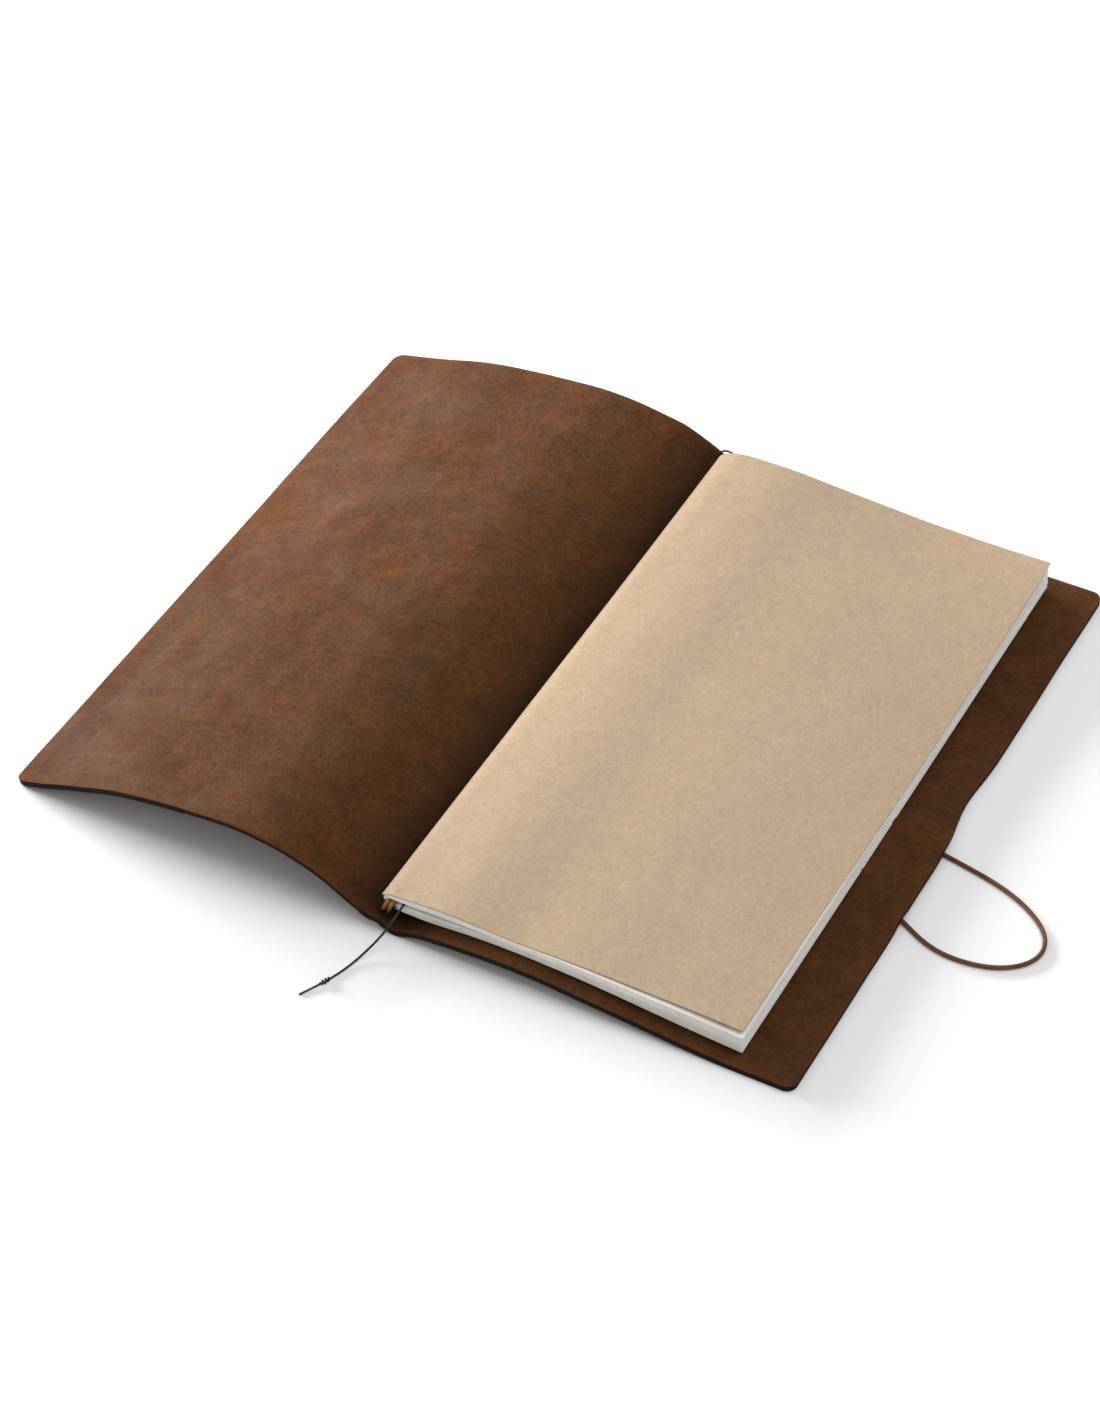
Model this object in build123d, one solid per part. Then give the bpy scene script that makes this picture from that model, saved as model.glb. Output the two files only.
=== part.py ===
"""Leather notebook cover, lying open, with one paper booklet held in its gutter by an elastic.

Millimetres. X runs across the open spread (front cover on -X, back cover on +X), Y runs up the
spine, and Z is up. The origin is the middle of the cover's outline, on the table.

The real cover is one piece of leather that bends. It is split here along the lines where it
bends when it shuts, so that each stretch can turn on the one before it.
"""
import math
import os

from build123d import *

# ---- leather cover
LEATHER = 2.0               # thickness of the hide
COVER_HALF_Y = 110.0        # half the cover's height
COVER_RIGHT = 122.9         # fore edge of the back cover
CORNER_R = 4.0              # rounding of the cover's four corners
FLAT_FROM = 103.5           # the back cover lies flat on the table from here to its fore edge
ARCH_FROM = 2.4             # the low arch starts here, at the foot of the crease
# middle surface of the front cover, from the spine hinge out to its fore edge
FRONT_MID = [(-5.7, 4.6), (-8.9, 6.2), (-12.2, 7.9), (-15.5, 9.7), (-20.0, 11.9), (-25.0, 13.5),
             (-33.5, 15.4), (-41.5, 16.35), (-49.5, 16.6), (-59.5, 15.75), (-71.5, 14.3),
             (-81.0, 12.85), (-91.5, 10.5), (-102.5, 7.0), (-113.5, 3.5), (-122.4, 1.05)]
# places in FRONT_MID where one stretch hands over to the next, and how far each turns to shut
HINGES = [0, 2, 5, 8, 11]
TURNS = [63.1, 77.3, 34.2, 14.0, 9.1]
# middle surface of the back cover: the sharp crease of the spine, then a low arch
CREASE_MID = [(-5.7, 4.6), (-4.2, 4.35), (-2.7, 3.6), (-1.2, 2.2), (0.4, 1.25), (ARCH_FROM, 1.0)]
ARCH_MID = [(ARCH_FROM, 1.0), (8.0, 2.95), (14.5, 4.0), (24.5, 4.9), (36.0, 5.4), (47.0, 5.15),
            (60.0, 4.2), (75.0, 2.95), (90.0, 1.75), (FLAT_FROM, 1.0)]
# the wedge cut along each hinge line: half its width outside, its reach, and its spare angle
SLIT = 0.15
WEDGE_REACH = 1.5
WEDGE_SPARE = 3.0

# ---- booklet of paper, 110 x 210 mm, 32 leaves and a kraft cover
PAGE_HALF_Y = 105.0
BOOK_Y = -0.7               # the booklet sits this far towards the bottom of the cover
FOLD_X = -3.0               # line that all the leaves turn about
FOLD_Z = 8.35
FOLD_OUT = 0.65             # from that line to the inside of the kraft cover's folded spine
KRAFT = 0.35                # thickness of the kraft card
GROUPS = 4                  # bundles of four leaves in each half of the booklet
LEAF_GAP = 0.12             # between two bundles
END_SLOPE = math.radians(50)  # slope of the leaves' spine ends, which start just off the fold
END_START = 0.2
END_TALL = 9.0
END_SPARE = 12.0
# x, underside of the back kraft cover, top of the front kraft cover, half the opening between
# the two halves, and how far the front kraft cover stands off the leaves
BOOK = [(-2.0, 5.5, 11.3, 0.72, 0.05), (4.0, 4.9, 11.9, 0.72, 0.05), (12.0, 4.95, 12.6, 0.60, 0.06),
        (22.0, 5.95, 12.7, 0.35, 0.10), (36.0, 6.55, 12.2, 0.07, 0.15), (50.0, 6.35, 11.9, 0.07, 0.2),
        (60.5, 5.9, 11.7, 0.07, 0.25), (75.0, 4.75, 11.3, 0.07, 0.35), (90.0, 3.5, 10.8, 0.07, 0.45),
        (106.0, 2.5, 10.1, 0.07, 0.60)]

# ---- staples
STAPLE_Y = (-53.2, 51.8)    # middle of each staple
STAPLE_HALF = 6.0           # half its crown
STAPLE_WIRE = 0.4
STAPLE_Z = 7.6              # height of its legs
STAPLE_OUT = 1.25           # its crown and its bent-in ends, from the fold line outwards
STAPLE_IN = 0.35
STAPLE_TIP = 2.0            # half the gap between the bent-in ends
STAPLE_BEND = 0.3

# ---- elastic in the gutter
ELASTIC = 1.2               # its diameter
STRAND_X = (-1.9, -0.5)     # its two strands inside the booklet's fold
SPINE_HOLE_Y = 107.4        # its holes through the leather, near both ends of the spine
TOP_FEET = (-6.3, -2.9)     # where the two strands come out under the leather, at each end
BOTTOM_FEET = (-4.9, -2.4)
FOOT_Z = 0.85               # height of the runs under the leather
CLASP = (4.6, 8.0, 2.1)     # crimped metal clasp on the elastic's two ends
CLASP_PLACE = (-4.9, 99.5)
CLASP_BEND = 0.7
CLASP_BITE = 0.4            # how far the ends reach into the clasp
ELASTIC_ENDS = (-6.3, -3.5)  # where they go in, and how high
ELASTIC_END_Z = 1.0
ELASTIC_BENDS = [1.4, 2.2, 2.2, 0.9, 0.9, 2.2, 2.2, 1.4]

# ---- closing elastic and bookmark string
CLOSURE = 1.3               # closing elastic
KNOT_X = 60.5               # it is tied through a hole in the middle of the back cover
KNOT_STEM = 1.35            # radius of the two strands in the hole
KNOT_KNOB = 2.0             # radius of the knot inside the cover, which is sunk to KNOT_SEAT
KNOT_SEAT = 4.1
KNOT_TOP = 5.7
STRING = 0.65               # bookmark string
STRING_KNOT_R = 0.85
HOLE_SPARE = 0.1            # a hole is this much larger than its cord, in radius
GROOVE_SPARE = 0.12
# route of the closing elastic: under the cover, round its free loop on the table, and back
CLOSURE_ROUTE = [(61.5, -0.3, 2.15), (80.0, -3.4, 0.85), (101.0, -7.0, 0.70), (122.0, -10.7, 0.66),
                 (144.5, -14.9, 0.66), (158.6, -23.4, 0.66), (162.3, -32.3, 0.66),
                 (158.3, -40.2, 0.66), (148.8, -45.3, 0.66), (135.2, -46.0, 0.66),
                 (122.5, -39.6, 0.66), (103.0, -27.3, 0.70), (82.0, -13.9, 0.85), (61.3, -0.7, 2.15)]
# route of the bookmark string: up through the leather at the top of the spine, over the end of
# the booklet, down through its middle opening, and out over the bottom edge onto the table
STRING_ROUTE = [(-4.6, 103.5, 1.0), (-4.4, 106.3, 1.0), (-4.3, 108.7, 2.4), (-3.9, 109.0, 6.0),
                (-3.7, 108.9, 9.3), (-1.4, 108.7, 10.9), (1.6, 108.0, 11.0), (2.8, 106.7, 9.0),
                (2.8, 103.0, 8.3), (2.4, 94.0, 8.38), (1.9, 76.0, 8.37), (1.7, 43.0, 8.38),
                (1.2, -6.0, 8.37), (1.6, -52.0, 8.38), (1.9, -80.0, 8.37), (2.4, -97.0, 8.38),
                (2.5, -105.9, 8.25), (2.0, -111.4, 6.1), (0.8, -115.0, 3.9), (-0.7, -118.7, 2.0),
                (-2.2, -123.0, 0.7), (-3.9, -128.7, 0.34), (-5.55, -133.3, 0.55)]
STRING_KNOT = (-5.85, -134.1, 0.85)
STRING_END = [(-6.3, -134.85, 0.65), (-7.9, -137.7, 0.34), (-9.8, -141.1, 0.34)]

SMOOTH = 0.45               # share of the shorter run that an arc takes at a corner of a cord


def save(name, shape):
    """Write one node."""
    shape.label = name
    export_step(shape, f"parts/{name}.step")
    print(f"{name}: {shape.volume:.0f} mm3")


def offset(points, distance):
    """Points moved at right angles to the line they make, to its left."""
    moved = []
    for i, (x, z) in enumerate(points):
        ax, az = points[max(i - 1, 0)]
        bx, bz = points[min(i + 1, len(points) - 1)]
        run = math.hypot(bx - ax, bz - az)
        moved.append((x - distance * (bz - az) / run, z + distance * (bx - ax) / run))
    return moved


def curve(points):
    """A smooth edge through points of the XZ plane."""
    return Spline(*[(x, 0, z) for x, z in points])


def prism(edges, half_y, y=0.0):
    """The closed outline of these edges in the XZ plane, drawn out to both sides along Y."""
    outline = Face(Wire(edges))
    near = outline.moved(Location((0, y - half_y, 0)))
    return Solid.extrude(near, Vector(0, 2 * half_y, 0))


def between(lower, upper, half_y, y=0.0):
    """A curved slab between two lines of points, with straight ends."""
    low, high = curve(lower), curve(upper)
    ends = [Line(low @ 0, high @ 0), Line(low @ 1, high @ 1)]
    return prism([low, ends[1], high, ends[0]], half_y, y)


def polygon(points, half_y, y=0.0):
    """A prism on a straight-sided outline."""
    closed = points + points[:1]
    edges = [Line((a[0], 0, a[1]), (b[0], 0, b[1])) for a, b in zip(closed, closed[1:])]
    return prism(edges, half_y, y)


def follow(path, radius):
    """A round bar that follows a path."""
    return sweep(Plane(origin=path @ 0, z_dir=path % 0) * Circle(radius), path=path)


def tube(route, radius, name=None):
    """A round cord along straight runs joined by arcs as large as the runs allow."""
    points = [Vector(*p) for p in route]
    radii = []
    for a, b, c in zip(points, points[1:], points[2:]):
        turn = math.radians((b - a).get_angle(c - b))
        radii.append(SMOOTH * min((b - a).length, (c - b).length) / math.tan(turn / 2))
    path = FilletPolyline(*points, radius=radii)
    cord = follow(path, radius)
    if name:
        share = cord.volume / (math.pi * radius**2 * path.length)
        print(f"{name}: {path.length:.1f} mm long, volume share {share:.3f}, radii",
              [round(r, 1) for r in radii])
    return cord


def rod(start, end, radius):
    """A straight round bar between two points."""
    start, end = Vector(*start), Vector(*end)
    plane = Plane(origin=start, z_dir=end - start)
    return Solid.extrude(Face(Wire(plane * Edge.make_circle(radius))), end - start)


def bend_gap(index):
    """The wedge cut from the inner face where the leather folds, so that both sides can shut."""
    x, z = FRONT_MID[HINGES[index]]
    before = FRONT_MID[max(HINGES[index] - 1, 0)]
    after = FRONT_MID[HINGES[index] + 1]
    along = Vector(after[0] - before[0], 0, after[1] - before[1]).normalized()
    up = Vector(along.Z, 0, -along.X)
    flare = SLIT + WEDGE_REACH * math.tan(math.radians(TURNS[index] / 2 + WEDGE_SPARE))
    shape = [(-SLIT, -WEDGE_REACH), (SLIT, -WEDGE_REACH), (SLIT, 0),
             (flare, WEDGE_REACH), (-flare, WEDGE_REACH), (-SLIT, 0)]
    corners = [(x + a * along.X + b * up.X, z + a * along.Z + b * up.Z) for a, b in shape]
    return polygon(corners, COVER_HALF_Y + 1)


def round_corners(solid, x):
    """Round the two corners of a cover at its fore edge, whose short edges stand near this x."""
    short = 1.5 * LEATHER
    ends = [e for e in solid.edges() if abs(abs(e.center().Y) - COVER_HALF_Y) < 0.01]
    near = [e for e in ends if abs(e.center().X - x) < LEATHER and e.length < short]
    return solid.fillet(CORNER_R, near)


# ------------------------------------------------------------------ leather
def front_stretch(index):
    """One stretch of the front cover, from a hinge line to the next or to the fore edge."""
    first = HINGES[index]
    last = HINGES[index + 1] if index + 1 < len(HINGES) else len(FRONT_MID) - 1
    upper = offset(FRONT_MID, -LEATHER / 2)[first:last + 1]
    lower = offset(FRONT_MID, LEATHER / 2)[first:last + 1]
    solid = between(lower, upper, COVER_HALF_Y)
    solid = solid - bend_gap(index)
    if index + 1 < len(HINGES):
        return solid - bend_gap(index + 1)
    return round_corners(solid.solid(), FRONT_MID[-1][0])


def back_leather():
    """The back cover with the crease of the spine, its holes, and the grooves over the elastic."""
    half = LEATHER / 2
    foot, brow = (ARCH_FROM, 0.0), (ARCH_FROM, LEATHER)
    low = [curve(offset(CREASE_MID, -half)[:-1] + [foot]),
           curve([foot] + offset(ARCH_MID, -half)[1:-1] + [(FLAT_FROM, 0.0)])]
    high = [curve(offset(CREASE_MID, half)[:-1] + [brow]),
            curve([brow] + offset(ARCH_MID, half)[1:-1] + [(FLAT_FROM, LEATHER)])]
    flat = [Line((FLAT_FROM, 0, 0), (COVER_RIGHT, 0, 0)),
            Line((COVER_RIGHT, 0, 0), (COVER_RIGHT, 0, LEATHER)),
            Line((COVER_RIGHT, 0, LEATHER), (FLAT_FROM, 0, LEATHER))]
    left = Line(low[0] @ 0, high[0] @ 0)
    solid = prism(low + flat + high[::-1] + [left], COVER_HALF_Y)
    solid = round_corners(solid, COVER_RIGHT)
    solid = solid - bend_gap(0)
    solid = solid - tube(CLOSURE_ROUTE, CLOSURE / 2 + GROOVE_SPARE)
    solid = solid - rod((KNOT_X, 0, 1), (KNOT_X, 0, 7), KNOT_STEM + 0.25)
    solid = solid - rod((KNOT_X, 0, KNOT_SEAT), (KNOT_X, 0, 7), KNOT_KNOB + 0.2)
    for y, feet in ((-SPINE_HOLE_Y, BOTTOM_FEET), (SPINE_HOLE_Y, TOP_FEET)):
        for under, strand in zip(feet, STRAND_X):
            solid = solid - rod((under, y, FOOT_Z), (strand, y, FOLD_Z), ELASTIC / 2 + HOLE_SPARE)
    return (solid - tube(STRING_ROUTE[:8], STRING / 2 + HOLE_SPARE)).solid()


# ------------------------------------------------------------------ booklet
def book_lines():
    """Lines of points that bound the papers: both covers, and both faces of each half's leaves."""
    lines = {"under": [], "back_top": [], "front_under": [], "over": []}
    leaves = {"back": ([], []), "front": ([], [])}
    for x, under, over, opening, proud in BOOK:
        lines["under"].append((x, under))
        lines["back_top"].append((x, under + KRAFT))
        lines["front_under"].append((x, over - KRAFT))
        lines["over"].append((x, over))
        low = under + KRAFT + LEAF_GAP / 2
        high = over - KRAFT - LEAF_GAP / 2 - proud
        middle = (low + high) / 2
        leaves["back"][0].append((x, low))
        leaves["back"][1].append((x, middle - opening))
        leaves["front"][0].append((x, middle + opening))
        leaves["front"][1].append((x, high))
    return lines, leaves


def sloped_end(upwards):
    """What the leaves' spine end leaves free, so that each can turn about the fold."""
    far = FOLD_Z + (END_TALL if upwards else -END_TALL)
    start = FOLD_X + END_START
    left = FOLD_X - END_SPARE
    corners = [(start, FOLD_Z), (start + END_TALL / math.tan(END_SLOPE), far), (left, far), (left, FOLD_Z)]
    return polygon(corners, COVER_HALF_Y)


def leaf_bundle(half, index):
    """Four leaves of one half of the booklet; index 0 lies next to the middle opening."""
    lower, upper = book_lines()[1][half]
    slot = index if half == "front" else GROUPS - 1 - index
    low, high = [], []
    for (x, a), (_, b) in zip(lower, upper):
        pitch = (b - a) / GROUPS
        low.append((x, a + slot * pitch + LEAF_GAP / 2))
        high.append((x, a + (slot + 1) * pitch - LEAF_GAP / 2))
    solid = between(low, high, PAGE_HALF_Y, BOOK_Y)
    return (solid - sloped_end(half == "front")).solid()


def front_kraft():
    """The front kraft cover, which starts beside the fold, so that it can turn."""
    lines = book_lines()[0]
    card = between(lines["front_under"], lines["over"], PAGE_HALF_Y, BOOK_Y)
    return (card - sloped_end(True)).solid()


def back_kraft():
    """The back kraft cover, with the lower half of the booklet's folded spine."""
    lines = book_lines()[0]
    inner = FOLD_X - FOLD_OUT
    outer = inner - KRAFT
    low = curve([(outer, FOLD_Z), (outer + 0.1, 7.0), (outer + 0.7, 5.9)] + lines["under"])
    high = curve([(inner, FOLD_Z), (inner + 0.1, 7.1), (inner + 0.6, 6.3)] + lines["back_top"])
    ends = [Line(low @ 0, high @ 0), Line(low @ 1, high @ 1)]
    solid = prism([low, ends[1], high, ends[0]], PAGE_HALF_Y, BOOK_Y)
    for y in STAPLE_Y:
        for leg in (-STAPLE_HALF, STAPLE_HALF):
            start, end = (outer - 1, y + leg, STAPLE_Z), (inner + 1, y + leg, STAPLE_Z)
            solid = solid - rod(start, end, STAPLE_WIRE / 2 + 0.05)
    return solid.solid()


def staple(y):
    """A wire staple: its crown outside the folded spine, its legs through it, bent in inside."""
    out, clinch = FOLD_X - STAPLE_OUT, FOLD_X - STAPLE_IN
    route = [(clinch, y - STAPLE_TIP, STAPLE_Z), (clinch, y - STAPLE_HALF, STAPLE_Z),
             (out, y - STAPLE_HALF, STAPLE_Z), (out, y + STAPLE_HALF, STAPLE_Z),
             (clinch, y + STAPLE_HALF, STAPLE_Z), (clinch, y + STAPLE_TIP, STAPLE_Z)]
    return follow(FilletPolyline(*route, radius=STAPLE_BEND), STAPLE_WIRE / 2)


# ------------------------------------------------------------------ cords and what holds them
def binding_elastic():
    """One elastic, from the clasp in through the leather, down and up the fold, and back."""
    y = SPINE_HOLE_Y
    inside = CLASP_PLACE[1] + CLASP[1] / 2 - CLASP_BITE
    route = [(ELASTIC_ENDS[0], inside, ELASTIC_END_Z), (TOP_FEET[0], y, FOOT_Z),
             (STRAND_X[0], y, FOLD_Z), (STRAND_X[0], -y, FOLD_Z),
             (BOTTOM_FEET[0], -y, FOOT_Z), (BOTTOM_FEET[1], -y, FOOT_Z),
             (STRAND_X[1], -y, FOLD_Z), (STRAND_X[1], y, FOLD_Z),
             (TOP_FEET[1], y, FOOT_Z), (ELASTIC_ENDS[1], inside, ELASTIC_END_Z)]
    path = FilletPolyline(*route, radius=ELASTIC_BENDS)
    print(f"binding elastic: {path.length:.0f} mm of cord")
    return follow(path, ELASTIC / 2)


def clasp():
    """The crimped clasp under the top of the spine, with rounded edges."""
    wide, long, tall = CLASP
    x, y = CLASP_PLACE
    body = Pos(x, y, tall / 2) * Box(wide, long, tall)
    return fillet(body.edges().filter_by(Axis.Y), CLASP_BEND)


def closure_knot():
    """The knot of the closing elastic: a stem through the leather and a rounded knob inside it."""
    low = KNOT_SEAT + 0.1
    stem = rod((KNOT_X, 0, 1.45), (KNOT_X, 0, low + 0.4), KNOT_STEM)
    knob = rod((KNOT_X, 0, low), (KNOT_X, 0, KNOT_TOP), KNOT_KNOB)
    return fillet((stem + knob).edges().group_by(Axis.Z)[-1], 0.6)


os.makedirs("parts", exist_ok=True)
save("back_cover_leather", back_leather())
for number, name in enumerate(["spine_leather", "front_leather_1", "front_leather_2",
                               "front_leather_3", "front_leather_4"]):
    save(name, front_stretch(number))
save("kraft_cover_back", back_kraft())
save("kraft_cover_front", front_kraft())
for number in range(GROUPS):
    save(f"front_leaves_{number + 1}", leaf_bundle("front", number))
    save(f"back_leaves_{number + 1}", leaf_bundle("back", number))
for name, place in zip(["staple_bottom", "staple_top"], STAPLE_Y):
    save(name, staple(place))
save("binding_elastic", binding_elastic())
save("elastic_clasp", clasp())
save("closure_elastic", tube(CLOSURE_ROUTE, CLOSURE / 2, "closure elastic"))
save("closure_knot", closure_knot())
save("bookmark_string", tube(STRING_ROUTE, STRING / 2, "bookmark string"))
save("bookmark_knot", Pos(*STRING_KNOT) * Sphere(STRING_KNOT_R))
save("bookmark_end", tube(STRING_END, STRING / 2, "bookmark end"))
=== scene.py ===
"""Looks of an open leather notebook cover with a kraft booklet, two elastics and a bookmark string.

Metres, in the frame of the solid model: X across the spread, Y up the spine, Z up from the table.
Shapes are written in millimetres and scaled by MM.
"""

import math
import random

import bmesh
import bpy
from mathutils import Matrix, Vector, noise


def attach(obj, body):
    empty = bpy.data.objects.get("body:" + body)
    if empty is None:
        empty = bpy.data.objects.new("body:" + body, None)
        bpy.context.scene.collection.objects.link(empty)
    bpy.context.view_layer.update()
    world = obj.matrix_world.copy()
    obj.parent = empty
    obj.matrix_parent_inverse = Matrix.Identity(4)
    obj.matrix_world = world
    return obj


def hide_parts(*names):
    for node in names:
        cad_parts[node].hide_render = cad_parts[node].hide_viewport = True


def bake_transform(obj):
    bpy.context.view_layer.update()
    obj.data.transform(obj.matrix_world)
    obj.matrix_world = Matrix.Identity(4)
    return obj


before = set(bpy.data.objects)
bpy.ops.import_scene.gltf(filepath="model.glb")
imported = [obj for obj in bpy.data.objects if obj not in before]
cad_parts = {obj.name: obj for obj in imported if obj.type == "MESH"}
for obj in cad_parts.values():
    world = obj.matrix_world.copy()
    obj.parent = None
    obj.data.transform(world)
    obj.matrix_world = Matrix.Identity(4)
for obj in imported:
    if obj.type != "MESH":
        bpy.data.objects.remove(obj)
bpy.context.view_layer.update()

MM = 0.001
dice = random.Random(7)

# ---- viewing place
VIEW_TURN, VIEW_HEIGHT, VIEW_ROLL = 27.855, 43.896, 0.259    # degrees
VIEW_AIM = (-2.144, -11.232, 0.0)                            # mm
VIEW_DISTANCE = 1.09995                                      # metres
VIEW_LENS, VIEW_FRAME = 95.515, 36.0                         # mm

# ---- leather, in mm
HIDE = 2.0                   # thickness
HALF_HEIGHT = 110.0
CORNER = 3.2                 # radius of the cover's four corners
RIM_ROUND = 0.3              # softness of the cut edge, above and below
RIM_UNDER = 0.65
TABLE_GAP = 0.02             # least height above the table
HIDE_ROWS = 128              # rows of the hide's grid from bottom to top
# middle of the hide's thickness across the spread, from fore edge to fore edge
HIDE_LINE = [(-122.4, 1.05), (-113.5, 3.5), (-102.5, 7.0), (-91.5, 10.5), (-81.0, 12.85),
             (-71.5, 14.3), (-59.5, 15.75), (-49.5, 16.6), (-41.5, 16.35), (-33.5, 15.4),
             (-25.0, 13.5), (-20.0, 11.9), (-15.5, 9.7), (-12.2, 7.9), (-8.9, 6.2), (-5.7, 4.6),
             (-4.2, 4.35), (-2.7, 3.6), (-1.2, 2.2), (0.4, 1.25), (2.4, 1.0), (8.0, 2.95),
             (14.5, 4.0), (24.5, 4.9), (36.0, 5.4), (47.0, 5.15), (60.0, 4.2), (75.0, 2.95),
             (90.0, 1.75), (103.5, 1.0), (122.9, 1.0)]
# how much higher that line lies at the bottom end than half-way up; the top end is as much lower
HIDE_TWIST = [(-122.4, -0.2), (-113.0, 0.1), (-104.0, 0.6), (-92.0, 1.0), (-80.0, 1.1),
              (-49.5, 1.1), (-34.0, 0.65), (-25.0, 0.0), (-18.0, -1.0), (-11.0, -1.6),
              (-6.5, -1.4), (-3.0, -0.5), (0.0, 0.0), (122.9, 0.0)]
# where one piece of the hide hands over to the next: half-way between two bend lines
SEAMS = [-8.9, -18.6, -37.0, -65.0]
FORE_LEFT, FORE_RIGHT = HIDE_LINE[0][0], HIDE_LINE[-1][0]
# the closing elastic lifts the back cover that lies on it
STRAND_LIFT = 1.45
STRAND_RISE = (74, 101)      # where the lift begins and where it is full, across the spread
STRAND_SPREAD = 5.0          # its reach to each side of a strand
BETWEEN_LIFT = 0.45          # its least share between the two strands
# gentle waves of the hide: length across, length along, height, and a layer of their own
WAVES = ((34, 46, 1.0, 3.0), (15, 19, 0.5, 8.0))
WAVE_FRONT, WAVE_BACK = 0.35, 0.12
CALM_MIDDLE, CALM_WIDE = -3, 12      # no waves in the gutter

# ---- booklet, in mm
BOOK_BOTTOM, BOOK_TOP = -105.7, 104.3
BOOK_EDGE = 106.0            # its fore edge
CARD = 0.35                  # kraft card
LEAF = 0.105                 # one leaf
# top of the front kraft cover at the bottom end, half-way and at the top end
CARD_BOTTOM = [(-4.2, 9.6), (-2.0, 10.6), (2.0, 11.1), (8.5, 11.7), (15.5, 12.1), (23.5, 11.9),
               (30.5, 11.5), (38.5, 11.2), (50.0, 11.35), (60.5, 11.3), (75.0, 10.95), (90.0, 10.7),
               (106.0, 10.3)]
CARD_MIDDLE = [(-4.0, 9.8), (-2.0, 11.1), (2.0, 11.9), (12.0, 12.7), (22.0, 12.8), (36.0, 12.3),
               (50.0, 12.0), (60.5, 11.75), (75.0, 11.2), (90.0, 10.5), (106.0, 9.7)]
CARD_TOP = [(-4.0, 10.9), (-1.5, 12.7), (3.0, 14.2), (11.5, 14.8), (22.5, 14.8), (37.5, 13.9),
            (50.0, 13.2), (62.5, 12.6), (75.0, 12.3), (90.0, 12.3), (106.0, 12.7)]
# underside of the back kraft cover, and the middle opening
CARD_UNDER = [(-4.0, 8.3), (-3.6, 6.9), (-2.6, 5.75), (-1.0, 5.2), (4.0, 4.95), (12.0, 5.1),
              (22.0, 6.05), (36.0, 6.65), (50.0, 6.4), (60.5, 5.95), (75.0, 4.8), (90.0, 3.55),
              (106.0, 2.55)]
OPENING = [(-2.8, 8.35), (4.0, 8.4), (12.0, 8.77), (22.0, 9.3), (36.0, 9.37), (50.0, 9.1),
           (60.5, 8.75), (75.0, 7.95), (90.0, 7.05), (106.0, 6.0)]
OPENING_HALF = [(-2.8, 0.72), (4.0, 0.72), (12.0, 0.6), (22.0, 0.35), (36.0, 0.08), (106.0, 0.05)]
FOLD_MIDDLE = (-1.7, 8.35)   # what the folded sheets bend round, and how far left they reach
FOLD_INNER, FOLD_OUTER, FOLD_CARD = 0.75, 1.9, 2.35
CARD_LEFT = -4.0             # where the front kraft cover meets the folded spine
CARD_SHORT = 1.4             # its bottom edge stands back by this towards the fore edge
SPINE_START, SPINE_TURN = -42, 132   # degrees that the folded spine covers, from its upper edge
SPINE_SHARE = 0.3            # share of the back kraft cover's grid that lies in the spine
SPINE_RISE = 1.75            # height of the folded spine above its middle
LEAF_TURN_SHARE = 0.24       # share of a leaf's grid that lies in its bend
LEAF_GRID, CARD_FRONT_GRID, CARD_BACK_GRID = (34, 14), (64, 56), (60, 30)
GROUPS = 4                   # bundles of leaves in each half of the booklet
LEAVES = 4                   # leaves in a bundle

# ---- cords, in mm
CLOSURE_WIDE = 1.3
CLOSURE_ROUTE = [(61.5, -0.3, 2.15), (80.0, -3.4, 0.85), (101.0, -7.0, 0.70), (122.0, -10.7, 0.66),
                 (144.5, -14.9, 0.66), (158.6, -23.4, 0.66), (162.3, -32.3, 0.66),
                 (158.3, -40.2, 0.66), (148.8, -45.3, 0.66), (135.2, -46.0, 0.66),
                 (122.5, -39.6, 0.66), (103.0, -27.3, 0.70), (82.0, -13.9, 0.85),
                 (61.3, -0.7, 2.15)]
STRING_WIDE = 0.65
STRING_ROUTE = [(-4.6, 103.5, 1.0), (-4.9, 105.0, 1.0), (-5.6, 106.6, 2.4), (-5.8, 107.3, 6.2),
                (-5.6, 107.2, 9.5), (-3.3, 107.0, 11.2), (-0.3, 106.5, 11.3), (1.8, 105.6, 9.4),
                (2.6, 102.8, 8.4), (2.4, 94.0, 8.38), (1.9, 76.0, 8.37), (1.7, 43.0, 8.38),
                (1.2, -6.0, 8.37), (1.6, -52.0, 8.38), (1.9, -80.0, 8.37), (2.4, -97.0, 8.38),
                (2.5, -105.9, 8.25), (2.0, -111.4, 6.1), (0.8, -115.0, 3.9), (-0.7, -118.7, 2.0),
                (-2.2, -123.0, 0.7), (-3.9, -128.7, 0.34), (-5.55, -133.3, 0.55)]
STRING_END = [(-6.3, -134.85, 0.65), (-7.9, -137.7, 0.34), (-9.8, -141.1, 0.34)]
KNOT_START, KNOT_END = (-5.3, -132.7, 0.85), (-6.45, -135.3, 0.85)
KNOT_RADIUS = 0.5            # of the knot's turns, middle of the string
KNOT_TURNS = 3


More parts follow.
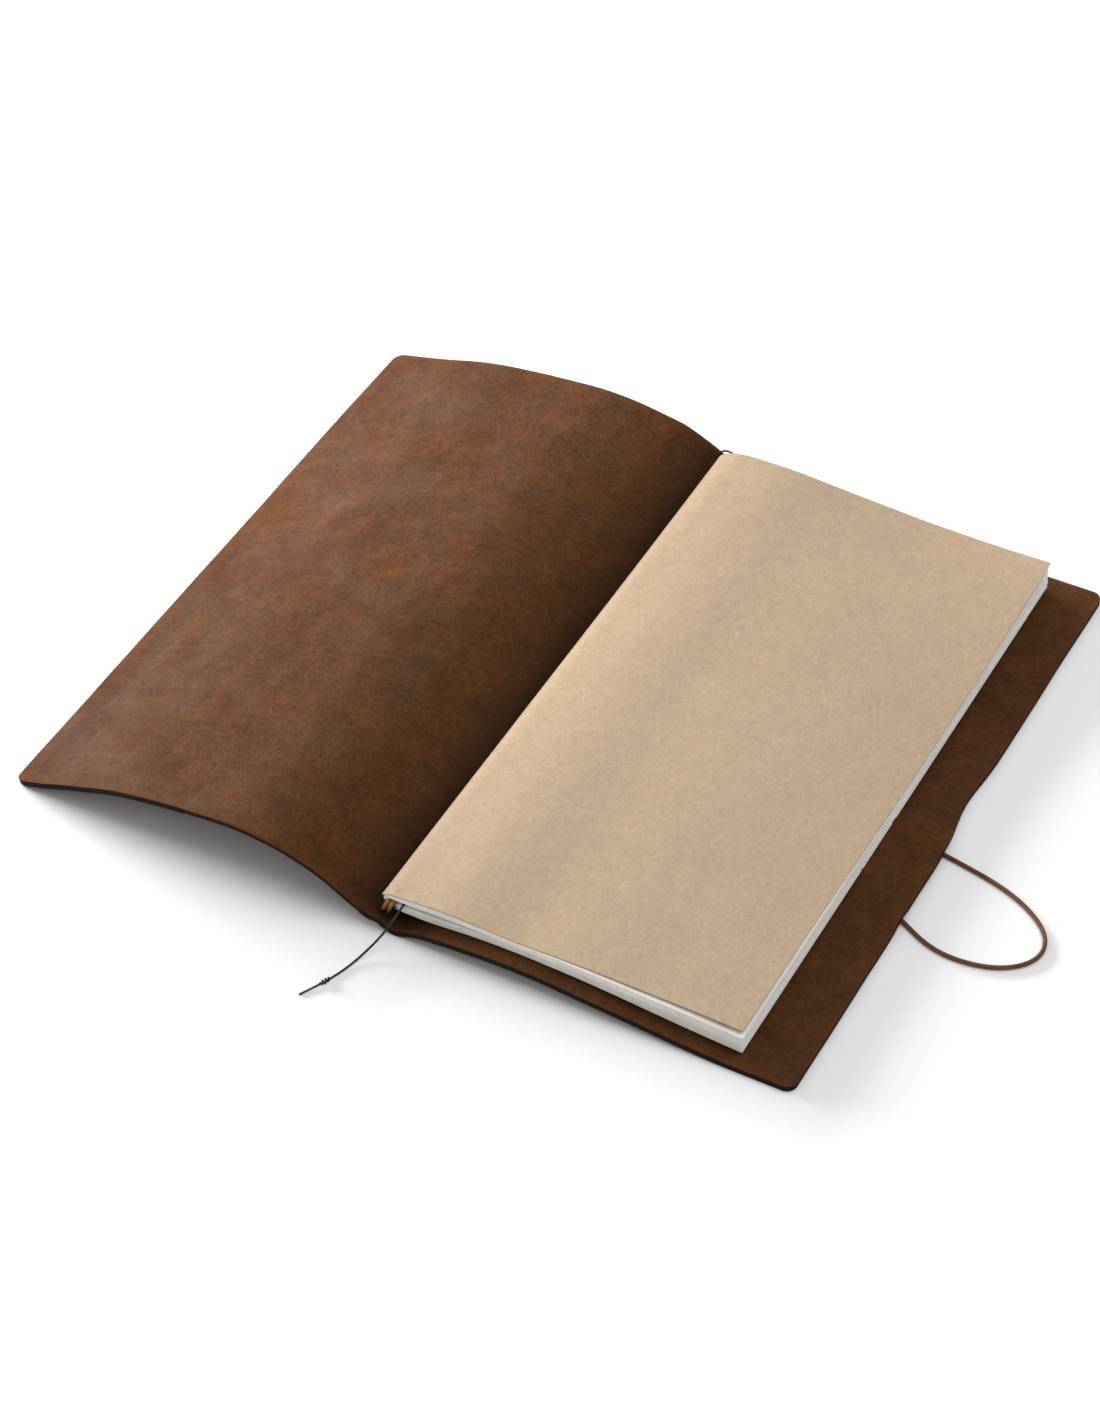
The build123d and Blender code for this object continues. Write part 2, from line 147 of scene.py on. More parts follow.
# ------------------------------------------------------------------ camera
def camera():
    """The viewing place, in front of the cover's lower right, looking down across the spread."""
    azimuth, height = math.radians(VIEW_TURN), math.radians(VIEW_HEIGHT)
    roll = math.radians(VIEW_ROLL)
    target = Vector(VIEW_AIM) * MM
    back = Vector((math.sin(azimuth) * math.cos(height), -math.cos(azimuth) * math.cos(height),
                   math.sin(height)))
    right = Vector((math.cos(azimuth), math.sin(azimuth), 0.0))
    up = back.cross(right)
    right, up = (right * math.cos(roll) + up * math.sin(roll),
                 up * math.cos(roll) - right * math.sin(roll))
    view = bpy.data.cameras.new("view")
    view.lens = VIEW_LENS
    view.sensor_width = VIEW_FRAME
    view.clip_start = 0.01
    holder = bpy.data.objects.new("view", view)
    turn = Matrix((right, up, back)).transposed().to_4x4()
    holder.matrix_world = Matrix.Translation(target + back * VIEW_DISTANCE) @ turn
    bpy.context.scene.collection.objects.link(holder)
    bpy.context.scene.camera = holder


# ------------------------------------------------------------------ small helpers
def smooth(points, x):
    """Height at x on the smooth line through points, which run from left to right."""
    last = len(points) - 2
    i = 0
    while i < last and points[i + 1][0] <= x:
        i += 1
    (x0, y0), (x1, y1) = points[i], points[i + 1]
    before, after = points[max(i - 1, 0)], points[min(i + 2, last + 1)]
    step = x1 - x0
    slope0 = (y1 - before[1]) / (x1 - before[0])
    slope1 = (after[1] - y0) / (after[0] - x0)
    t = min(max((x - x0) / step, 0.0), 1.0)
    rise = (2 * t - 3) * t * t
    return (y0 * (1 + rise) - y1 * rise + step * slope0 * t * (1 - t) ** 2
            + step * slope1 * t * t * (t - 1))


def ease(t):
    """0 to 1 with a soft start and end."""
    t = min(max(t, 0.0), 1.0)
    return t * t * (3 - 2 * t)


def piece(name, bm, materials):
    """A finished mesh object at the origin, with smooth faces and sharp rims."""
    mesh = bpy.data.meshes.new(name)
    bm.to_mesh(mesh)
    bm.free()
    mesh.polygons.foreach_set("use_smooth", [True] * len(mesh.polygons))
    mesh.set_sharp_from_angle(angle=math.radians(42))
    for material in materials:
        mesh.materials.append(material)
    obj = bpy.data.objects.new(name, mesh)
    bpy.context.scene.collection.objects.link(obj)
    return obj


def slab(bm, columns, rows, place):
    """A closed sheet of so many columns and rows of faces.

    place(u, v, depth) puts each corner, with u and v from 0 to 1 and depth 0 or 1.
    """
    made = bmesh.ops.create_grid(bm, x_segments=columns, y_segments=rows, size=0.5)
    top = made["verts"]
    faces = list({face for vert in top for face in vert.link_faces})
    lower = bmesh.ops.extrude_face_region(bm, geom=faces, use_keep_orig=True)["geom"]
    low = [part for part in lower if isinstance(part, bmesh.types.BMVert)]
    for depth, layer in ((0.0, top), (1.0, low)):
        for vert in layer:
            vert.co = Vector(place(vert.co.x + 0.5, vert.co.y + 0.5, depth)) * MM
    bmesh.ops.recalc_face_normals(bm, faces=bm.faces[:])
    return top, low


# ------------------------------------------------------------------ materials
def new_material(name, colour, roughness):
    """A plain material, with what is needed to work on it: its nodes, its shader and the place."""
    material = bpy.data.materials.new(name)
    material.use_nodes = True
    tree = material.node_tree
    shader = tree.nodes["Principled BSDF"]
    shader.inputs["Base Color"].default_value = (*colour, 1)
    shader.inputs["Roughness"].default_value = roughness
    place = tree.nodes.new("ShaderNodeTexCoord").outputs["Object"]
    return material, tree, shader, place


def stretched(tree, place, scale, turn=0.0):
    """The place, scaled apart along its three axes, for patterns that run one way."""
    node = tree.nodes.new("ShaderNodeMapping")
    node.inputs["Scale"].default_value = scale
    node.inputs["Rotation"].default_value = (0, 0, turn)
    tree.links.new(place, node.inputs["Vector"])
    return node.outputs["Vector"]


def clouds(tree, place, scale, detail=3.0, rough=0.55, spread=0.0):
    """A soft irregular pattern."""
    node = tree.nodes.new("ShaderNodeTexNoise")
    node.inputs["Scale"].default_value = scale
    node.inputs["Detail"].default_value = detail
    node.inputs["Roughness"].default_value = rough
    node.inputs["Distortion"].default_value = spread
    tree.links.new(place, node.inputs["Vector"])
    return node.outputs["Fac"]


def ramp(tree, value, *stops):
    """Colours or greys between stops of (position, colour)."""
    node = tree.nodes.new("ShaderNodeValToRGB")
    band = node.color_ramp
    while len(band.elements) < len(stops):
        band.elements.new(0.5)
    for element, (position, colour) in zip(band.elements, stops):
        element.position = position
        element.color = (*colour, 1) if isinstance(colour, tuple) else (*[colour] * 3, 1)
    tree.links.new(value, node.inputs["Fac"])
    return node.outputs["Color"]


def mixed(tree, share, first, second, how="MIX"):
    """Two colours, joined by a share that may be a number or another pattern."""
    node = tree.nodes.new("ShaderNodeMix")
    node.data_type = "RGBA"
    node.blend_type = how
    for index, value in ((0, share), (6, first), (7, second)):
        socket = node.inputs[index]
        if isinstance(value, bpy.types.NodeSocket):
            tree.links.new(value, socket)
        else:
            socket.default_value = (*value, 1) if isinstance(value, tuple) else value
    return node.outputs[2]


def times(tree, first, second):
    """Two colours or patterns, multiplied."""
    return mixed(tree, 1.0, first, second, "MULTIPLY")


def relief(tree, shader, *layers):
    """Bumps from layers of (pattern, height in metres)."""
    normal = None
    for pattern, height in layers:
        node = tree.nodes.new("ShaderNodeBump")
        node.inputs["Distance"].default_value = height
        tree.links.new(pattern, node.inputs["Height"])
        if normal:
            tree.links.new(normal, node.inputs["Normal"])
        normal = node.outputs["Normal"]
    tree.links.new(normal, shader.inputs["Normal"])


def coordinate(tree, place, axis):
    split = tree.nodes.new("ShaderNodeSeparateXYZ")
    tree.links.new(place, split.inputs["Vector"])
    return split.outputs[axis]


def sums(tree, value, *steps):
    """A value after steps of (operation, number)."""
    for operation, number in steps:
        node = tree.nodes.new("ShaderNodeMath")
        node.operation = operation
        tree.links.new(value, node.inputs[0])
        node.inputs[1].default_value = number
        value = node.outputs["Value"]
    return value


def along(tree, place, axis, start, end, both=False):
    """0 to 1 between two places on an axis, in metres, on one or both sides of the middle."""
    value = coordinate(tree, place, axis)
    if both:
        value = sums(tree, value, ("ABSOLUTE", 0.0))
    node = tree.nodes.new("ShaderNodeMapRange")
    node.inputs["From Min"].default_value = start
    node.inputs["From Max"].default_value = end
    tree.links.new(value, node.inputs["Value"])
    return node.outputs["Result"]


def near(tree, place, axis, at, wide):
    """1 on a line across the axis at this distance from the middle, fading to 0 at wide from it."""
    value = sums(tree, coordinate(tree, place, axis), ("ABSOLUTE", 0.0), ("SUBTRACT", at),
                 ("ABSOLUTE", 0.0), ("DIVIDE", wide))
    return ramp(tree, value, (0.0, 1.0), (1.0, 0.0))


def hide_inside():
    """The flesh side: napped, cloudy, with reddish and greyish patches, rubbed marks and specks,
    and painted shade in the gutter, by the right fore edge and at the lower left corner.
    """
    material, tree, shader, place = new_material("hide_inside", (0.12, 0.055, 0.026), 0.8)
    tone = ramp(tree, clouds(tree, place, 14, 3, 0.55, 0.4), (0.3, (0.084, 0.031, 0.0088)),
                (0.52, (0.097, 0.0365, 0.0105)), (0.72, (0.111, 0.042, 0.0128)))
    greyish = ramp(tree, clouds(tree, place, 46, 5, 0.62, 0.6), (0.48, 0.0), (0.70, 0.62))
    tone = mixed(tree, greyish, tone, (0.080, 0.040, 0.0165))
    turned_place = stretched(tree, place, (1, 1, 1), 1.0)
    reddish = ramp(tree, clouds(tree, turned_place, 63, 5, 0.65, 0.5), (0.52, 0.0), (0.74, 0.38))
    tone = mixed(tree, reddish, tone, (0.118, 0.0345, 0.0082))

    # mottling, streaks both ways and fine nap
    streak_place = stretched(tree, place, (55, 260, 30), 0.5)
    cross_place = stretched(tree, place, (210, 40, 30), 0.2)
    for pattern, low, high in ((clouds(tree, place, 130, 4, 0.65), 0.84, 1.17),
                               (clouds(tree, streak_place, 1.0, 5, 0.62), 0.94, 1.06),
                               (clouds(tree, cross_place, 1.0, 4, 0.6), 0.94, 1.06),
                               (clouds(tree, place, 760, 4, 0.72), 0.72, 1.27)):
        tone = times(tree, tone, ramp(tree, pattern, (0.33, low), (0.67, high)))
    specks = ramp(tree, clouds(tree, place, 1150, 2, 0.6), (0.66, 0.0), (0.74, 0.6))
    tone = mixed(tree, specks, tone, (0.028, 0.013, 0.006))

    # faint broken lines a few millimetres inside the edges
    broken = ramp(tree, clouds(tree, place, 25, 2), (0.42, 0.0), (0.6, 0.22))
    for axis, at in (("X", 0.1172), ("Y", 0.1045)):
        line = times(tree, near(tree, place, axis, at, 0.0006), broken)
        tone = mixed(tree, line, tone, (0.030, 0.014, 0.007))

    # dark in the gutter, partly the hide's own darkening and partly painted shade; painted shade by
    # the right fore edge; darker and warmer to the left
    gutter = ramp(tree, near(tree, place, "X", 0.0, 0.030), (0.3, 0.0), (0.55, 0.36), (0.76, 0.78))
    tone = mixed(tree, gutter, tone, (0.020, 0.0085, 0.0035))
    right = ramp(tree, along(tree, place, "X", 0.085, 0.108), (0.0, 1.0), (1.0, 0.80))
    tone = times(tree, tone, right)
    left = along(tree, place, "X", -0.025, -0.085)
    tone = times(tree, tone, mixed(tree, left, (1.0, 1.0, 1.0), (0.97, 0.915, 0.80)))
    # painted shade: the lower left corner is darkened
    corner = times(tree, along(tree, place, "Y", -0.045, -0.10),
                   along(tree, place, "X", -0.06, -0.11))
    tone = times(tree, tone, mixed(tree, corner, (1.0, 1.0, 1.0), (0.77, 0.76, 0.72)))

    # rubbed reddish along the edges
    worn = ramp(tree, clouds(tree, place, 90, 4, 0.65), (0.4, 0.05), (0.62, 0.6))
    for axis, start, end in (("X", 0.116, 0.1225), ("Y", 0.1065, 0.1097)):
        rub = times(tree, along(tree, place, axis, start, end, True), worn)
        tone = mixed(tree, rub, tone, (0.125, 0.040, 0.010))
    tree.links.new(tone, shader.inputs["Base Color"])
    rough = ramp(tree, clouds(tree, place, 60, 3), (0.3, 0.72), (0.7, 0.92))
    tree.links.new(rough, shader.inputs["Roughness"])
    shader.inputs["Specular IOR Level"].default_value = 0.1
    relief(tree, shader, (clouds(tree, place, 1500, 4, 0.7), 0.00018),
           (clouds(tree, place, 170, 4, 0.6), 0.00035),
           (clouds(tree, streak_place, 1.3, 4), 0.0003))
    return material


def hide_outside():
    """The grain side: oiled, darker and smoother, with pores, creases and rubbed lighter marks."""
    material, tree, shader, place = new_material("hide_outside", (0.085, 0.036, 0.017), 0.5)
    tone = ramp(tree, clouds(tree, place, 16, 5, 0.62, 0.6), (0.3, (0.052, 0.018, 0.0065)),
                (0.55, (0.082, 0.030, 0.0105)), (0.75, (0.118, 0.045, 0.016)))
    patches = clouds(tree, place, 75, 5, 0.65, 0.4)
    tone = times(tree, tone, ramp(tree, patches, (0.3, 0.78), (0.7, 1.22)))
    scratch_place = stretched(tree, place, (700, 20, 60), 0.7)
    scratches = ramp(tree, clouds(tree, scratch_place, 1.0, 3, 0.6), (0.62, 0.0), (0.7, 0.25))
    tone = mixed(tree, scratches, tone, (0.17, 0.078, 0.034))
    pores = tree.nodes.new("ShaderNodeTexVoronoi")
    pores.inputs["Scale"].default_value = 950
    tree.links.new(place, pores.inputs["Vector"])
    dots = ramp(tree, pores.outputs["Distance"], (0.0, 0.55), (0.35, 1.0))
    tree.links.new(times(tree, tone, dots), shader.inputs["Base Color"])
    rough = ramp(tree, clouds(tree, place, 45, 4), (0.3, 0.46), (0.7, 0.68))
    tree.links.new(rough, shader.inputs["Roughness"])
    shader.inputs["Specular IOR Level"].default_value = 0.28
    relief(tree, shader, (pores.outputs["Distance"], 0.00012),
           (clouds(tree, place, 260, 4), 0.00022), (clouds(tree, place, 40, 3), 0.0005))
    return material


def hide_rim():
    """The cut edge: black-brown, with the hide's fibres lying along it."""
    material, tree, shader, place = new_material("hide_rim", (0.010, 0.007, 0.006), 0.75)
    fibres = clouds(tree, stretched(tree, place, (260, 260, 2200)), 1.0, 4, 0.7)
    tone = ramp(tree, fibres, (0.35, (0.006, 0.004, 0.0035)), (0.6, (0.011, 0.008, 0.0065)),
                (0.8, (0.026, 0.016, 0.011)))
    tree.links.new(tone, shader.inputs["Base Color"])
    shader.inputs["Specular IOR Level"].default_value = 0.12
    relief(tree, shader, (fibres, 0.00012))
    return material


def kraft():
    """Uncoated brown card: fine pulp with short pale and dark fibres, and painted shade on the
    fold.
    """
    material, tree, shader, place = new_material("kraft", (0.56, 0.40, 0.26), 0.85)
    tone = ramp(tree, clouds(tree, place, 45, 4, 0.6), (0.3, (0.418, 0.304, 0.196)),
                (0.7, (0.444, 0.325, 0.212)))
    for scale, low, high in ((330, 0.955, 1.045), (900, 0.945, 1.055), (2100, 0.96, 1.04)):
        pulp = clouds(tree, place, scale, 3, 0.65, 0.6)
        tone = times(tree, tone, ramp(tree, pulp, (0.34, low), (0.66, high)))
    for turn, scale, colour in ((0.3, 1500, (0.62, 0.50, 0.38)), (1.9, 1300, (0.60, 0.48, 0.36)),
                                (1.1, 1400, (0.34, 0.23, 0.145)), (2.6, 1600, (0.36, 0.25, 0.155))):
        fibre_place = stretched(tree, place, (scale, scale * 0.3, 500), turn)
        fibres = ramp(tree, clouds(tree, fibre_place, 1.0, 2, 0.5, 1.2), (0.62, 0.0), (0.74, 0.3))
        tone = mixed(tree, fibres, tone, colour)
    # painted shade darkens the fold, more towards its top end
    fold_painted_shade = times(tree, along(tree, place, "X", 0.008, -0.002),
                    along(tree, place, "Y", 0.0, 0.105))
    tone = times(tree, tone, mixed(tree, fold_painted_shade, (1.0, 1.0, 1.0), (0.68, 0.66, 0.64)))
    tree.links.new(tone, shader.inputs["Base Color"])
    shader.inputs["Specular IOR Level"].default_value = 0.3
    relief(tree, shader, (clouds(tree, place, 700, 4, 0.65), 0.00006),
           (clouds(tree, place, 90, 3), 0.00012))
    return material


def paper():
    """Cream writing paper, a little rough, with the fine lines of its cut edges, and a painted
    shadow under the fold.
    """
    material, tree, shader, place = new_material("paper", (0.92, 0.90, 0.85), 0.9)
    tone = ramp(tree, clouds(tree, place, 160, 4, 0.6), (0.3, (0.92, 0.905, 0.845)),
                (0.7, (0.97, 0.96, 0.905)))
    stack = clouds(tree, stretched(tree, place, (30, 30, 5200)), 1.0, 3, 0.6)
    tone = times(tree, tone, ramp(tree, stack, (0.35, 0.93), (0.6, 1.0)))
    # painted shadow: the leaves turn dark brown under their fold, at the left end low down
    fold = times(tree, along(tree, place, "X", 0.0012, -0.0005),
                 along(tree, place, "Z", 0.0083, 0.0075))
    tree.links.new(mixed(tree, fold, tone, (0.05, 0.035, 0.025)), shader.inputs["Base Color"])
    shader.inputs["Specular IOR Level"].default_value = 0.25
    relief(tree, shader, (clouds(tree, place, 900, 3), 0.00004))
    return material


def braided(name, dark, light, pitch, roughness):
    """A covered cord: its yarns wind round it, so bands slant across its length."""
    material, tree, shader, place = new_material(name, dark, roughness)
    weave = []
    for turn in (0.75, -0.75):
        wave = tree.nodes.new("ShaderNodeTexWave")
        wave.inputs["Scale"].default_value = 1.0
        wave.inputs["Distortion"].default_value = 1.5
        wave.inputs["Detail"].default_value = 2.0
        tree.links.new(stretched(tree, place, (pitch, pitch, pitch), turn), wave.inputs["Vector"])
        weave.append(wave.outputs["Fac"])
    both = mixed(tree, 0.5, *weave)
    patches = clouds(tree, place, 240, 3, 0.6)
    tone = mixed(tree, both, dark, light)
    tone = times(tree, tone, ramp(tree, patches, (0.3, 0.75), (0.7, 1.2)))
    tree.links.new(tone, shader.inputs["Base Color"])
    shader.inputs["Specular IOR Level"].default_value = 0.2
    relief(tree, shader, (both, 0.00015), (clouds(tree, place, 2600, 2), 0.00006))
    return material


def worn_metal(name, colour, roughness):
    """Bare metal with fine marks."""
    material, tree, shader, place = new_material(name, colour, roughness)
    shader.inputs["Metallic"].default_value = 1.0
    marks = clouds(tree, stretched(tree, place, (300, 1800, 300)), 1.0, 4, 0.6)
    tree.links.new(ramp(tree, marks, (0.3, roughness * 0.7), (0.7, min(roughness * 1.5, 1.0))),
                   shader.inputs["Roughness"])
    relief(tree, shader, (marks, 0.00003))
    return material


# ------------------------------------------------------------------ cords
def cord_curve(name, route, wide, material, steps=10, sides=5):
    """A round cord on a smooth line with these points, in mm, as its controls."""
    curve = bpy.data.curves.new(name, "CURVE")
    curve.dimensions = "3D"
    spline = curve.splines.new("NURBS")
    spline.points.add(len(route) - 1)
    for point, place in zip(spline.points, route):
        point.co = (*(Vector(place) * MM), 1)
    spline.order_u = 3
    spline.use_endpoint_u = True
    spline.resolution_u = steps
    curve.bevel_depth = wide / 2 * MM
    curve.bevel_resolution = sides
    curve.use_fill_caps = True
    curve.materials.append(material)
    obj = bpy.data.objects.new(name, curve)
    bpy.context.scene.collection.objects.link(obj)
    return obj


def barrel_knot(name, start, end, wide, material):
    """The string wound round itself from start to end."""
    count = 8 * KNOT_TURNS + 1
    start, end = Vector(start), Vector(end)
    side = (end - start).cross(Vector((0, 0, 1))).normalized()
    top = side.cross(end - start).normalized()
    route = []
    for i in range(count):
        t = i / (count - 1)
        angle = math.tau * KNOT_TURNS * t
        around = side * math.cos(angle) + top * math.sin(angle)
        full = KNOT_RADIUS * (0.55 + 0.45 * math.sin(math.pi * t))
        route.append(start.lerp(end, t) + around * full)
    return cord_curve(name, route, wide, material, 5, 4)


def cords():
    """The closing elastic, and the bookmark string with its knot and short frayed end."""
    brown = braided("closing_elastic", (0.10, 0.035, 0.014), (0.27, 0.105, 0.045), 1500, 0.6)
    dull = braided("waxed_string", (0.024, 0.016, 0.013), (0.075, 0.052, 0.044), 1900, 0.6)

    closing = cord_curve("closing_loop", CLOSURE_ROUTE, CLOSURE_WIDE, brown)
    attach(closing, "back_cover")
    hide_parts("closure_elastic")

    knot = barrel_knot("string_knot", KNOT_START, KNOT_END, STRING_WIDE, dull)
    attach(knot, "back_cover")
    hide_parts("bookmark_knot")

    string = cord_curve("marker_string", STRING_ROUTE, STRING_WIDE, dull)
    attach(string, "back_cover")
    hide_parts("bookmark_string")

    tip = cord_curve("string_end", STRING_END, STRING_WIDE * 0.9, dull)
    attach(tip, "back_cover")
    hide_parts("bookmark_end")


# ------------------------------------------------------------------ leather
def strand_places(x):
    """Where the two strands of the closing elastic run under the back cover at x."""
    first = [(point[0], point[1]) for point in CLOSURE_ROUTE[:4]]
    second = [(point[0], point[1]) for point in CLOSURE_ROUTE[:-5:-1]]
    return smooth(first, x), smooth(second, x)


def hide_height(x, y):
    """Middle of the hide's thickness."""
    height = smooth(HIDE_LINE, x) - y / HALF_HEIGHT * smooth(HIDE_TWIST, x)
    begins, full = STRAND_RISE
    if x > begins:
        lift = STRAND_LIFT * ease((x - begins) / (full - begins))
        upper, lower = strand_places(x)
        bump = max(math.exp(-((y - strand) / STRAND_SPREAD) ** 2) for strand in (upper, lower))
        height += lift * max(bump, BETWEEN_LIFT if lower < y < upper else 0.0)
    waves = sum(size * noise.noise(Vector((x / wide, y / long, layer)))
                for wide, long, size, layer in WAVES)
    loose = ease(abs(x - CALM_MIDDLE) / CALM_WIDE) * (WAVE_FRONT if x < 0 else WAVE_BACK)
    return height + loose * waves


def hide_point(x, y, depth):
    """A point on the inner face (depth 0) or the outer face (depth 1)."""
    step = 0.2
    slope_x = (hide_height(x + step, y) - hide_height(x - step, y)) / (2 * step)
    slope_y = (hide_height(x, y + step) - hide_height(x, y - step)) / (2 * step)
    out = Vector((-slope_x, -slope_y, 1)).normalized()
    spot = Vector((x, y, hide_height(x, y))) + out * HIDE * (0.5 - depth)
    spot.z = max(spot.z, TABLE_GAP)
    return spot


def half_height_at(x, side):
    """Half the cover's height at x, less at a rounded corner, with the knife's small wander."""
    reach = min(x - FORE_LEFT, FORE_RIGHT - x)
    cut = 0.0
    if reach < CORNER:
        cut = CORNER - math.sqrt(max(CORNER ** 2 - (CORNER - reach) ** 2, 0.0))
    wander = 0.15 * noise.noise(Vector((x / 18, 5.0 * side, 1.0)))
    return HALF_HEIGHT + wander - cut


def drawn_in(x, y):
    """How far the back cover stands back at its fore edge, most by the closing elastic."""
    upper_half = 1.2 * ease((y + 14) / 30)
    by_elastic = 1.3 * math.exp(-((y - 10) / 13) ** 2)
    return (upper_half + by_elastic) * ease((x - 95) / 27)


def stations(start, end, pitch):
    """Places of the grid's columns, closer together towards a rounded fore edge."""
    count = max(2, round((end - start) / pitch))
    rows = [start + (end - start) * i / count for i in range(count + 1)]
    fine = (0.0, 0.12, 0.45, 1.0, 1.8, 2.8)
    if start == FORE_LEFT:
        rows = [start + d for d in fine] + [x for x in rows if x > start + CORNER - 0.3]
    if end == FORE_RIGHT:
        rows = [x for x in rows if x < end - CORNER + 0.3] + [end - d for d in reversed(fine)]
    return rows


def soften_rims(bm, top, seams):
    """Tell inside, outside and cut edge apart, and round the cut edges that are not seams."""
    top = set(top)
    upper_edges, under_edges = set(), set()
    for face in bm.faces:
        uppers = sum(vert in top for vert in face.verts)
        if uppers == len(face.verts):
            face.material_index = 0
        elif uppers == 0:
            face.material_index = 1
        else:
            face.material_index = 2
            middle = face.calc_center_median().x / MM
            if any(abs(middle - x) < 0.02 for x in seams):
                continue
            for edge in face.edges:
                ends = sum(vert in top for vert in edge.verts)
                if ends == 2:
                    upper_edges.add(edge)
                elif ends == 0:
                    under_edges.add(edge)
    for edges, offset, segments, material in ((upper_edges, RIM_ROUND, 2, 0),
                                              (under_edges, RIM_UNDER, 3, 2)):
        bmesh.ops.bevel(bm, geom=list(edges), offset=offset * MM, offset_type="OFFSET",
                        segments=segments, profile=0.5, affect="EDGES", material=material,
                        clamp_overlap=True)


def hide_piece(name, start, end, materials, pitch, nodes):
    """A stretch of the hide, from start to end across the spread, with soft cut edges."""
    columns = stations(start, end, pitch)
    across = len(columns) - 1

    def place(u, v, depth):
        x = columns[round(u * across)]
        y = (2 * v - 1) * half_height_at(x, 1 if v > 0.5 else -1)
        edge = ease(1 - min(x - FORE_LEFT, FORE_RIGHT - x) / 12)
        shifted = x + 0.25 * edge * noise.noise(Vector((y / 30, 0.0, 2.0)))
        if x > 0:
            shifted -= drawn_in(x, y)
        return hide_point(shifted, y, depth)

    bm = bmesh.new()
    top, _ = slab(bm, across, HIDE_ROWS, place)
    soften_rims(bm, top, [x for x in (start, end) if x not in (FORE_LEFT, FORE_RIGHT)])
    obj = piece(name, bm, materials)
    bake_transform(obj)
    for node in nodes:
        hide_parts(node)


def leather():
    """One hide in five stretches, each bending about its own line."""
    materials = [hide_inside(), hide_outside(), hide_rim()]
    hide_piece("hide_back_and_gutter", SEAMS[0], FORE_RIGHT, materials, 1.5,
               ["back_cover_leather"])
    hide_piece("hide_spine_turn", SEAMS[1], SEAMS[0], materials, 0.8,
               ["spine_leather"])
    hide_piece("hide_front_bend_1", SEAMS[2], SEAMS[1], materials, 1.4,
               ["front_leather_1"])
    hide_piece("hide_front_bend_2", SEAMS[3], SEAMS[2], materials, 1.5,
               ["front_leather_2"])
    hide_piece("hide_front_bend_3", FORE_LEFT, SEAMS[3], materials, 1.5,
               ["front_leather_3", "front_leather_4"])


# ------------------------------------------------------------------ booklet
def card_top(x, y):
    """Top of the front kraft cover: the middle line, drawn to those of both ends."""
    middle = smooth(CARD_MIDDLE, x)
    share = abs(2 * (y - BOOK_BOTTOM) / (BOOK_TOP - BOOK_BOTTOM) - 1) ** 2.2
    end = smooth(CARD_TOP if y > (BOOK_TOP + BOOK_BOTTOM) / 2 else CARD_BOTTOM, x)
    return middle + share * (end - middle) + 0.05 * noise.noise(Vector((x / 22, y / 30, 1.0)))


def slope_at(height, x):
    """How steeply a height rises across the spread."""
    step = 0.15
    return (height(x + step) - height(x - step)) / (2 * step)


def bent_leaf(bm, reach, height, span, down):
    """A leaf that leaves the fold in a quarter bend and runs on to its free edge.

    reach is how far the bend stands out to the left, height(x, y) the leaf's middle, span gives
    its free edge and both ends along the spine, and down tells a leaf of the back half.
    """
    middle_x, middle_z = FOLD_MIDDLE
    free, bottom, top = span
    sign = -1 if down else 1

    def place(u, v, depth):
        y = bottom + (top - bottom) * v
        if u < LEAF_TURN_SHARE:
            angle = math.radians(90) * u / LEAF_TURN_SHARE
            rise = height(middle_x, y) - middle_z
            spot = Vector((middle_x - reach * math.cos(angle), y,
                           middle_z + rise * math.sin(angle)))
            out = Vector((-math.cos(angle), 0, sign * math.sin(angle)))
        else:
            flat = (u - LEAF_TURN_SHARE) / (1 - LEAF_TURN_SHARE)
            x = middle_x + (free - middle_x) * flat ** 1.4
            slope = slope_at(lambda at: height(at, y), x)
            spot = Vector((x, y, height(x, y)))
            out = Vector((-slope, 0, 1)).normalized() * sign
        return spot + out * LEAF * (0.5 - depth)

    slab(bm, *LEAF_GRID, place)


def card_front(material):
    """The front kraft cover, from the edge of the folded spine to the fore edge."""
    bm = bmesh.new()

    def place(u, v, depth):
        y = BOOK_BOTTOM + (BOOK_TOP - BOOK_BOTTOM) * v
        edge = BOOK_EDGE - 0.9 * ease((20 - y) / 100)
        x = CARD_LEFT + (edge - CARD_LEFT) * u ** 1.5
        y += CARD_SHORT * ease((x - 10) / 85) * (1 - v)
        slope = slope_at(lambda at: card_top(at, y), x)
        out = Vector((-slope, 0, 1)).normalized()
        return Vector((x, y, card_top(x, y))) - out * CARD * depth

    slab(bm, *CARD_FRONT_GRID, place)
    obj = piece("kraft_front", bm, [material])
    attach(obj, "kraft_front")
    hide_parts("kraft_cover_front")


def card_back(material):
    """The back kraft cover with the folded spine, which rounds the sheets up to the front cover."""
    bm = bmesh.new()
    middle_x, middle_z = FOLD_MIDDLE
    bottom, edge = BOOK_BOTTOM + 1.3, BOOK_EDGE - 1.0
    reach = FOLD_CARD - CARD / 2
    drop = middle_z - smooth(CARD_UNDER, middle_x) - CARD / 2

    def place(u, v, depth):
        y = bottom + (BOOK_TOP - bottom) * v
        if u < SPINE_SHARE:
            angle = math.radians(SPINE_START + SPINE_TURN * u / SPINE_SHARE)
            tall = drop if angle > 0 else SPINE_RISE
            spot = Vector((middle_x - reach * math.cos(angle), y,
                           middle_z - tall * math.sin(angle)))
            out = Vector((-math.cos(angle), 0, -math.sin(angle)))
        else:
            flat = (u - SPINE_SHARE) / (1 - SPINE_SHARE)
            x = middle_x + (edge - middle_x) * flat ** 1.4
            slope = slope_at(lambda at: smooth(CARD_UNDER, at), x)
            spot = Vector((x, y, smooth(CARD_UNDER, x) + CARD / 2))
            out = Vector((slope, 0, -1)).normalized()
        return spot + out * CARD * (0.5 - depth)

    slab(bm, *CARD_BACK_GRID, place)
    obj = piece("kraft_back", bm, [material])
    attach(obj, "back_cover")
    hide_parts("kraft_cover_back")


